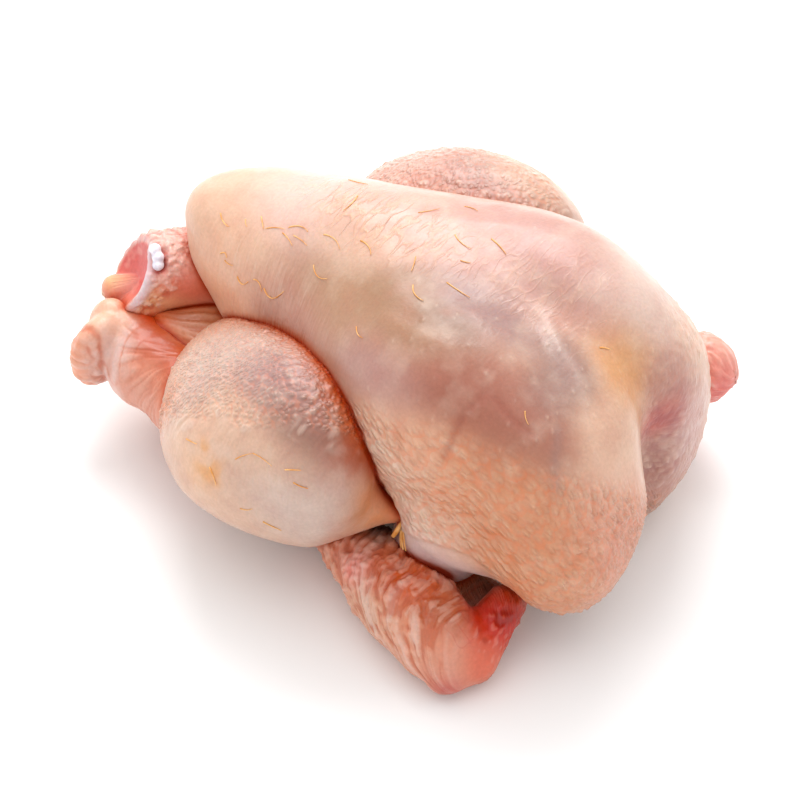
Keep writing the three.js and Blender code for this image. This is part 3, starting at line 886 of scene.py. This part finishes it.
def right_wing_skin(points):
    """The right wing's shoulder: pink, in rounded folds and pebbles."""
    chart = sleeve(points, (-2, 62, 16), (60, 78, 37))
    base = 0.9 * cloud(points, 9, 601) + 0.3 * cloud(points, 4, 602)
    flow = wobbled(chart, 6, 1.5, 603)
    bumps, _ = goose_bumps(flow, 3.0, 1.3, 610)
    height = base + 0.9 * bumps
    colours = patchwork(points, ROSY, (
        (BLUSH, (66, 80, 46), (10, 10, 9)),
        (RAW_PINK, (70, 73, 38), (8, 8, 7)),
    ))
    # paler crests and deeper furrows: partly the skin's tone, partly painted highlight and shade
    colours = crest_light_furrow_shade(colours, height - 0.6 * base, -0.5, 0.7, "#fdd8ce", "#d8504a", 0.5, 0.4)
    return height, colours, 0.1, 0, grain_of(flow, 2, 2.4, 0.2)


# ---- Meshes


def ray_rows(mass, stations, angles):
    """Origins and directions of a grid of rays. A station from 0 to 1 swings round the spine's first end,
    from 1 to 2 it moves along the spine, and from 2 to 3 it swings round the last end. An angle turns round
    the spine."""
    start, end = mass.spine
    axis = (end - start) / np.linalg.norm(end - start)
    first = np.cross([0, 0, 1], axis)
    first /= np.linalg.norm(first)
    second = np.cross(axis, first)
    out = np.cos(angles)[:, None] * first + np.sin(angles)[:, None] * second
    lean = np.where(stations < 1, stations - 1, np.where(stations > 2, stations - 2, 0)) * np.pi / 2
    origins = start + np.clip(stations - 1, 0, 1)[:, None] * (end - start)
    directions = np.cos(lean)[:, None, None] * out + np.sin(lean)[:, None, None] * axis
    return np.broadcast_to(origins[:, None], directions.shape), directions


def evenly(marks, weights, count, closed):
    """`count` values between the marks, spaced so that the weights between neighbours are all the same."""
    total = np.concatenate([[0], np.cumsum(weights)])
    shares = np.arange(count) / count if closed else (np.arange(count) + 0.5) / count
    return np.interp(shares * total[-1], total, marks)


def skin_grid(mass, rows, columns, seen, crowd):
    """Places on a mass's surface, in rows along its spine and columns round it, and the two poles.

    A coarse grid is measured first, so that rows and columns come out evenly spaced along the skin. Columns
    on the side that faces `seen` are up to 1 + crowd times as close.
    """
    marks, turns = np.linspace(0.02, 2.98, 61), np.linspace(0, 2 * np.pi, 49)
    origins, directions = ray_rows(mass, marks, turns)
    coarse = met(mass, origins.reshape(-1, 3), directions.reshape(-1, 3)).reshape(directions.shape)
    lengths = np.linalg.norm(np.diff(coarse, axis=0), axis=-1).mean(1)
    girths = np.linalg.norm(np.diff(coarse, axis=1), axis=-1)[15:46].mean(0)
    facing = directions[30] @ (np.array(seen) / np.linalg.norm(seen))
    girths = girths * (1 + crowd * np.clip(0.5 + 1.5 * facing[1:], 0, 1))
    stations = evenly(marks, lengths, rows, False)
    angles = evenly(turns, girths, columns, True)
    origins, directions = ray_rows(mass, stations, angles)
    grid = met(mass, origins.reshape(-1, 3), directions.reshape(-1, 3))
    start, end = mass.spine
    axis = (end - start) / np.linalg.norm(end - start)
    return np.concatenate([grid, met(mass, np.array([start, end]), np.array([-axis, axis]))])


def grid_faces(rows, columns):
    """Squares between neighbouring rows and columns, closed round the columns, and a fan at each pole."""
    row, column = np.meshgrid(np.arange(rows - 1), np.arange(columns), indexing="ij")
    here, there = row * columns + column, row * columns + (column + 1) % columns
    squares = np.stack([here, there, there + columns, here + columns], -1).reshape(-1, 4)
    ring = np.arange(columns)
    after, base = (ring + 1) % columns, (rows - 1) * columns
    fans = np.concatenate([np.stack([after, ring, np.full(columns, rows * columns)], -1),
                           np.stack([base + ring, base + after, np.full(columns, rows * columns + 1)], -1)])
    return squares, fans


def add_mesh(name, places, squares, triangles, material, slot, values=None):
    """A smooth mesh object from arrays of places, squares and triangles, with values kept at each place."""
    mesh = bpy.data.meshes.new(name)
    mesh.vertices.add(len(places))
    mesh.vertices.foreach_set("co", metres(places).astype(np.float32).ravel())
    corners = np.concatenate([squares.ravel(), triangles.ravel()]).astype(np.int32)
    mesh.loops.add(len(corners))
    mesh.loops.foreach_set("vertex_index", corners)
    sides = np.concatenate([np.full(len(squares), 4), np.full(len(triangles), 3)])
    mesh.polygons.add(len(sides))
    mesh.polygons.foreach_set("loop_start", (np.cumsum(sides) - sides).astype(np.int32))
    mesh.polygons.foreach_set("use_smooth", np.ones(len(sides), bool))
    for key, value in (values or {}).items():
        if value.ndim == 2:
            layer = mesh.color_attributes.new(key, "FLOAT_COLOR", "POINT")
            value = np.concatenate([value, np.ones((len(value), 1))], -1)
            layer.data.foreach_set("color", value.astype(np.float32).ravel())
        else:
            mesh.attributes.new(key, "FLOAT", "POINT").data.foreach_set("value", value.astype(np.float32))
    mesh.update(calc_edges=True)
    mesh.validate()
    mesh.materials.append(material)
    thing = bpy.data.objects.new(name, mesh)
    bpy.context.collection.objects.link(thing)
    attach(thing, "root")
    return thing


# ---- Materials


def opaque(colour):
    """A hex colour as the four linear values that a node takes."""
    return (*linear(colour), 1)


def add_node(tree, kind, inputs=None, out=0, **settings):
    """Adds a node with its settings and gives one of its outputs. An input is a node's output or a value."""
    node = tree.nodes.new("ShaderNode" + kind)
    for key, value in settings.items():
        setattr(node, key, value)
    for key, value in (inputs or {}).items():
        if isinstance(value, bpy.types.NodeSocket):
            tree.links.new(value, node.inputs[key])
        else:
            node.inputs[key].default_value = value
    return node.outputs[out] if len(node.outputs) else node


def new_material(name):
    """An empty material, and add_node for its own tree."""
    material = bpy.data.materials.new(name)
    material.use_nodes = True
    material.node_tree.nodes.clear()
    return material, partial(add_node, material.node_tree)


def two_tones(add, scale, deep, pale):
    """Colour that drifts between two tones, by soft noise of `scale` changes a metre."""
    place = add("TexCoord", out="Object")
    noise = add("TexNoise", {"Vector": place, "Scale": scale, "Detail": 2.0})
    share = add("MapRange", {0: noise, 1: 0.35, 2: 0.65})
    return add("MixRGB", {0: share, 1: opaque(deep), 2: opaque(pale)})


def goose_bump_pattern(add):
    """Drop-shaped goose bumps from the skin's grain, and the furrows between them.

    A bump is the bell curve of its distances along and across, divided by its reach: a long one behind its
    top and a short one before it. The furrow is the rest of the cell, on the short side.
    """
    grain = add("SeparateXYZ", {0: add("Attribute", out="Vector", attribute_name="grain")}).node.outputs
    amount = grain[2]
    flat = add("CombineXYZ", {0: grain[0], 1: grain[1]})
    cells = add("TexVoronoi", {"Vector": flat, "Scale": 1.0, "Randomness": 0.85}, voronoi_dimensions="2D")
    away = add("VectorMath", {0: flat, 1: cells.node.outputs["Position"]}, operation="SUBTRACT")
    offset = add("SeparateXYZ", {0: away}).node.outputs
    along = add("Math", {0: offset[0], 1: 0.1}, operation="SUBTRACT")
    ahead = add("Math", {0: along, 1: 0.24}, operation="DIVIDE")
    behind = add("Math", {0: along, 1: -0.5}, operation="DIVIDE")
    reach = add("Math", {0: ahead, 1: behind}, operation="MAXIMUM")
    across = add("Math", {0: offset[1], 1: 0.36}, operation="DIVIDE")
    across = add("Math", {0: across, 1: across}, operation="MULTIPLY")
    far = add("Math", {0: reach, 1: reach, 2: across}, operation="MULTIPLY_ADD")
    far = add("Math", {0: far, 1: -1.0}, operation="MULTIPLY")
    mound = add("Math", {0: far}, operation="EXPONENT")
    uneven = add("MapRange", {0: cells.node.outputs["Color"], 3: 0.45, 4: 1.0})
    mound = add("Math", {0: mound, 1: uneven}, operation="MULTIPLY")
    low = add("MapRange", {0: mound, 1: 0.0, 2: 0.6, 3: 1.0, 4: 0.0})
    in_front = add("MapRange", {0: along, 1: -0.5, 2: 0.2})
    furrow = add("Math", {0: low, 1: in_front}, operation="MULTIPLY")
    return (add("Math", {0: mound, 1: amount}, operation="MULTIPLY"),
            add("Math", {0: furrow, 1: amount}, operation="MULTIPLY"))


def raw_skin():
    """Raw plucked chicken skin: thin, moist and see-through over fat and meat.

    Water and fat leave a soft gloss with small sharp glints, and light spreads some millimetres under the
    surface and comes out redder. Fine creping runs round the body, and loose skin is crinkled in thin,
    yellowish ridges.
    """
    material, add = new_material("raw_chicken_skin")
    place = add("TexCoord", out="Object")
    colour = add("Attribute", out="Color", attribute_name="skin_colour")
    creping = add("Attribute", out="Fac", attribute_name="creping")
    crinkling = add("Attribute", out="Fac", attribute_name="crinkling")
    fine = add("TexNoise", {"Vector": place, "Scale": 850, "Detail": 3.0})
    broad = add("TexNoise", {"Vector": place, "Scale": 160, "Detail": 2.0})
    round_body = add("Mapping", {"Vector": place, "Scale": (1, 0.16, 0.16), "Rotation": (0, 0, 0.25)})
    creases = add("TexNoise", {"Vector": round_body, "Scale": 620, "Detail": 1.0})
    creases = add("Math", {0: creases, 1: creping}, operation="MULTIPLY")
    # a ridge runs where one of two nets of noise is halfway between its ends
    ridges = 0.0
    for turns, scale in (((0, 0.3, 0.6), 150), ((0.7, 0.3, -0.5), 210)):
        turned_place = add("Mapping", {"Vector": place, "Scale": (1, 0.38, 0.38), "Rotation": turns})
        net = add("TexNoise", {"Vector": turned_place, "Scale": scale, "Detail": 1.5})
        away = add("Math", {0: net, 1: 0.5}, operation="SUBTRACT")
        away = add("Math", {0: away}, operation="ABSOLUTE")
        line = add("MapRange", {0: away, 1: 0.0, 2: 0.045, 3: 1.0, 4: 0.0})
        ridges = add("Math", {0: line, 1: ridges}, operation="MAXIMUM")
    ridges = add("Math", {0: ridges, 1: crinkling}, operation="MULTIPLY")
    bumps, furrows = goose_bump_pattern(add)
    value = add("MapRange", {0: fine, 1: 0.3, 2: 0.7, 3: 0.93, 4: 1.04})
    colour = add("HueSaturation", {"Color": colour, "Saturation": 1.04, "Value": value})
    # pale goose-bump tops are a painted highlight and orange furrows between them painted shade and glow;
    # the yellowish ridges are the skin's own colour
    covers = (ridges, 0.32, "#e0a878"), (furrows, 0.33, "#d5713c"), (bumps, 0.15, "#eccfae")
    for cover, share, hue in covers:
        cover = add("Math", {0: cover, 1: share}, operation="MULTIPLY")
        colour = add("MixRGB", {0: cover, 1: colour, 2: opaque(hue)})
    height = 0.0
    depths = (fine, 0.1), (bumps, 0.85), (creases, 0.7), (ridges, 0.35)  # in millimetres
    for relief, depth in depths:
        height = add("Math", {0: relief, 1: depth, 2: height}, operation="MULTIPLY_ADD")
    shader = add("BsdfPrincipled", {
        "Base Color": colour, "Roughness": add("MapRange", {0: broad, 1: 0.35, 2: 0.65, 3: 0.34, 4: 0.5}),
        "Normal": add("Bump", {"Height": height, "Strength": 1.0, "Distance": MM}),
        "Subsurface Weight": 0.25, "Subsurface Radius": (1.0, 0.38, 0.22), "Subsurface Scale": 0.0025,
        "IOR": 1.42, "Coat Weight": 0.25, "Coat Roughness": 0.16,
    })
    add("OutputMaterial", {"Surface": shader})
    return material


def gristle():
    """Knuckle gristle: wet, bluish white and glassy."""
    material, add = new_material("wet_gristle")
    shader = add("BsdfPrincipled", {
        "Base Color": two_tones(add, 420, "#d4cedc", "#f4f1f6"), "Roughness": 0.18,
        "Subsurface Weight": 0.3, "Subsurface Radius": (1, 0.8, 0.8), "Subsurface Scale": 0.002,
        "Coat Weight": 0.5, "Coat Roughness": 0.06,
    })
    add("OutputMaterial", {"Surface": shader})
    return material


def feather_stub():
    """Leftover filoplumes and quill ends: thin, golden and slightly glossy."""
    material, add = new_material("golden_feather_stub")
    colour = two_tones(add, 300, "#d88c36", "#f0ba74")
    shader = add("BsdfPrincipled", {"Base Color": colour, "Roughness": 0.4})
    add("OutputMaterial", {"Surface": shader})
    return material


SKIN, GRISTLE, STUB = raw_skin(), gristle(), feather_stub()


# ---- The pieces
# Name, rows, columns, the side that is seen and how much closer its columns are, and the skin

left_thigh_skin, right_thigh_skin = partial(thigh_skin, side=-1), partial(thigh_skin, side=1)
PIECES = (
    ("trunk", 390, 254, (0.3, -0.6, 0.75), 3.0, trunk_skin),
    ("belly", 120, 150, (-0.3, -0.5, 0.8), 1.0, belly_skin),
    ("left_thigh", 270, 360, (0.2, -0.7, 0.7), 1.5, left_thigh_skin),
    ("right_thigh", 220, 290, (0, 0.5, 0.8), 1.0, right_thigh_skin),
    ("left_shank", 190, 220, (-0.2, -0.6, 0.7), 1.5, left_shank_skin),
    ("right_shank", 210, 240, (0.2, -0.4, 0.9), 1.5, right_shank_skin),
    ("left_wing", 250, 300, (0.2, -0.6, 0.7), 1.5, left_wing_skin),
    ("right_wing", 170, 200, (0.3, 0.6, 0.7), 1.0, right_wing_skin),
)


def stood_out(name, points, height):
    """Points on a bare mass, moved out by the skin's height but never through the table."""
    out = points + MASSES[name].normals(points) * height[..., None]
    out[..., 2] = np.maximum(out[..., 2], 0)
    return out


def add_skin(name, rows, columns, seen, crowd, skin):
    """One mass's skin: its grid of places, moved by the skin's relief, with the skin's colours."""
    points = skin_grid(MASSES[name], rows, columns, seen, crowd)
    height, colours, creping, crinkling, grain = skin(points)
    gap = np.maximum(gap_to_others(name, points), 0)
    height = height - CREASE_DEPTH * np.exp(-((gap / CREASE_WIDTH) ** 2))
    # all skin colours are then painted darker by one share, to offset lamps that light the room past white
    # each skin gets a painted orange glow and painted dark red shade towards its creases
    values = {"skin_colour": painted_crease_glow_and_shade(colours, gap / CREASE_PAINT_REACH.get(name, 1)) * LIT_PAST_WHITE_SHARE, "grain": grain,
              "creping": creping + 0 * height, "crinkling": crinkling + 0 * height}
    places = stood_out(name, points, height)
    thing = add_mesh(name + "_skin", places, *grid_faces(rows, columns), SKIN, "raw_skin", values)
    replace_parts(thing, "flesh_and_skin")


for piece in PIECES:
    add_skin(*piece)

BEAD_ROWS, BEAD_COLUMNS = 40, 48
bead_points = skin_grid(MASSES["gristle"], BEAD_ROWS, BEAD_COLUMNS, (0, 0, 1), 0)
bead = add_mesh("gristle_bead", bead_points, *grid_faces(BEAD_ROWS, BEAD_COLUMNS), GRISTLE, "gristle")
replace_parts(bead, "ankle_gristle")


# ---- Feather stubs

# Root of each stub (X and Y on the breast), its heading in degrees round from +X, and its length
BREAST_STUBS = (
    (-86, -15, -27, 7.6), (-74, -15, -37, 3.5), (-68, -13, -38, 5.6), (-63, -16, 9, 8.5),
    (-54, -14, 4, 9.3), (-55, -16, -21, 7.5), (-50, -16, -12, 8), (-39, -13, -11, 10),
    (-25, -10, -20, 8.3), (-36, -22, -21, 9.4), (-52, 15, -5, 9.5), (-40, 6, -80, 9),
    (-4, -6, -61, 7.2), (4, -17, -32, 9.5), (-4, -37, -31, 6.4), (0, 10, -14, 9),
    (11, 16, -16, 8.9), (12, -9, -4, 10.5), (9, 2, 19, 3.6), (-8, 25, 3, 6),
    (-17, 11, 56, 7.5), (64, 8, 53, 3.6), (64, -32, -39, 4.3), (-79, -24, -5, 4.3),
    (-76, -25, -8, 5), (-68, -27, -6, 6.4), (-60, -27, -12, 5.8), (-54, -28, -5, 10.5),
)
# The same on the left thigh, by X and Z
THIGH_STUBS = (
    (-41, 60, 18, 6.3), (-18, 66, 40, 7.8), (-12, 71, 2, 9), (2, 72, 17, 5.4), (-12, 50, 22, 5.4),
    (-4, 47, -18, 6.3), (6, 69, -11, 5.1), (-27, 59, -39, 6.4),
)
SHRED_THICKNESS = 0.2  # half of it
# Shreds of fat under the knee: the start, middle and end of each, and half its width
SHREDS = (
    ((25.2, -48.2, 35.5), (25.6, -50.6, 33.6), (24.2, -51.8, 30.2), 0.8),
    ((25.3, -48.5, 34), (26.2, -50.4, 30), (28.6, -52.4, 28.4), 0.3),
    ((26, -48.5, 34), (27, -50.6, 31), (30.2, -53.2, 29.2), 0.35),
    ((26.8, -48.8, 34), (28.2, -50.9, 31.5), (31.6, -53.5, 29.8), 0.25),
)
RINGS, SIDES = 9, 5  # of each stub and shred
STUB_BEND = 1.1  # the most that a stub turns from end to end, in radians
STUB_RADII, STUB_TAPER = (0.2, 0.3), 0.55
ROOT_LIFT, TIP_LIFT = 0.1, 0.35  # of a stub's middle line off the skin


def add_tubes(name, line, normals, across, out):
    """Thin tubes along lines of places. Each ring reaches `across` sideways and `out` from the skin."""
    count = len(line)
    along = np.gradient(line, axis=1)
    along /= np.linalg.norm(along, axis=-1, keepdims=True)
    side = np.cross(along, normals)
    side /= np.linalg.norm(side, axis=-1, keepdims=True)
    over = np.cross(side, along)
    side, over = side * across[..., None], over * out[..., None]
    turn = np.linspace(0, 2 * np.pi, SIDES + 1)[:-1, None]
    ring = np.cos(turn) * side[:, :, None] + np.sin(turn) * over[:, :, None]
    places = (line[:, :, None] + ring).reshape(-1, 3)
    tube, step, corner = np.meshgrid(np.arange(count), np.arange(RINGS - 1), np.arange(SIDES), indexing="ij")
    here = ((tube * RINGS + step) * SIDES + corner).ravel()
    there = ((tube * RINGS + step) * SIDES + (corner + 1) % SIDES).ravel()
    squares = np.stack([here, there, there + SIDES, here + SIDES], -1)
    root = np.arange(count)[:, None] * RINGS * SIDES + np.arange(SIDES)[::-1]
    tip = root[:, ::-1] + (RINGS - 1) * SIDES
    caps = np.concatenate([fan[:, [0, i, i + 1]] for fan in (root, tip) for i in range(1, SIDES - 1)])
    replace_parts(add_mesh(name, places, squares, caps, STUB, "raw_skin"), "flesh_and_skin")


def add_stubs(name, mass, skin, table, axes, seed):
    """Each stub is a thin tube along a slightly curved line that lies on the skin.

    The line is walked on the plane of the first two axes and dropped onto the mass against the third. It is
    then lifted by the skin's own height there, and by a little more towards the stub's free end.
    """
    table, axes = np.array(table, float), np.array(axes, float)
    chances = np.random.default_rng(seed)
    steps = np.linspace(0, 1, RINGS)
    bend = chances.uniform(-STUB_BEND, STUB_BEND, len(table))
    heading = np.radians(table[:, 2])[:, None] + bend[:, None] * (steps - 0.5)
    stride = np.stack([np.cos(heading), np.sin(heading)], -1) * table[:, 3, None, None] / (RINGS - 1)
    stride[:, 0] = 0
    walk = table[:, None, :2] + np.cumsum(stride, 1)
    over = (walk @ axes[:2]).reshape(-1, 3)
    bare = met(mass, over, np.broadcast_to(axes[2], over.shape))
    normals = mass.normals(bare)
    lift = ROOT_LIFT + TIP_LIFT * np.tile(steps, len(table)) ** 2
    line = bare + normals * (skin(bare)[0] + lift)[:, None]
    shape = (len(table), RINGS, 3)
    radius = chances.uniform(*STUB_RADII, (len(table), 1)) * (1 - STUB_TAPER * steps)
    add_tubes(name, line.reshape(shape), normals.reshape(shape), radius, radius)


FORWARD, TO_RIGHT, UPWARD, TO_LEFT = (1, 0, 0), (0, 1, 0), (0, 0, 1), (0, -1, 0)
add_stubs("breast_stubs", MASSES["trunk"], trunk_skin, BREAST_STUBS, (FORWARD, TO_RIGHT, UPWARD), 5)
add_stubs("thigh_stubs", MASSES["left_thigh"], left_thigh_skin, THIGH_STUBS, (FORWARD, UPWARD, TO_LEFT), 6)


def add_shreds():
    """Flat shreds of fat that face up and to the left front, along curves pulled to their middle places."""
    starts, middles, ends = (np.array([shred[i] for shred in SHREDS], float)[:, None] for i in range(3))
    steps = np.linspace(0, 1, RINGS)[:, None]
    line = (1 - steps) ** 2 * starts + 2 * steps * (1 - steps) * middles + steps**2 * ends
    width = np.array([shred[3] for shred in SHREDS])[:, None] * (0.6 + 0.6 * np.sin(2.6 * steps[:, 0]))
    add_tubes("fat_shreds", line, np.broadcast_to(back, line.shape), width, SHRED_THICKNESS + 0 * width)


add_shreds()


# ---- Table and light


def lay_table():
    """A table laid with white matt card."""
    material, add = new_material("white_card")
    shader = add("BsdfPrincipled", {"Base Color": (0.9, 0.9, 0.9, 1), "Roughness": 0.9})
    add("OutputMaterial", {"Surface": shader})
    bpy.ops.mesh.primitive_plane_add(size=6)
    table = bpy.context.object
    table.name = "table"
    table.data.materials.append(material)
    table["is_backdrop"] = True


def soft_light(name, place, target, size, watts):
    """A square soft lamp that faces the target."""
    lamp = bpy.data.objects.new(name, bpy.data.lights.new(name, "AREA"))
    bpy.context.collection.objects.link(lamp)
    lamp.location = place
    lamp.rotation_euler = (Vector(target) - Vector(place)).to_track_quat("-Z", "Y").to_euler()
    lamp.data.shape = "SQUARE"
    lamp.data.size = size
    lamp.data.energy = watts


lay_table()
world = bpy.data.worlds.new("white_room")
bpy.context.scene.world = world
world.use_nodes = True
world.node_tree.nodes["Background"].inputs["Color"].default_value = (1, 1, 1, 1)
world.node_tree.nodes["Background"].inputs["Strength"].default_value = 1.0
BODY_MIDDLE = (0, 0, 0.04)
soft_light("key", (-0.5, 0.6, 1.0), BODY_MIDDLE, 0.8, 12)
soft_light("overhead", (-0.1, 0.1, 1.2), BODY_MIDDLE, 1.5, 5)
bpy.context.scene.view_settings.view_transform = "Standard"

boxes = {"cad": cad_box, "visual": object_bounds()}
{key: [list(corner) for corner in box] for key, box in boxes.items()}
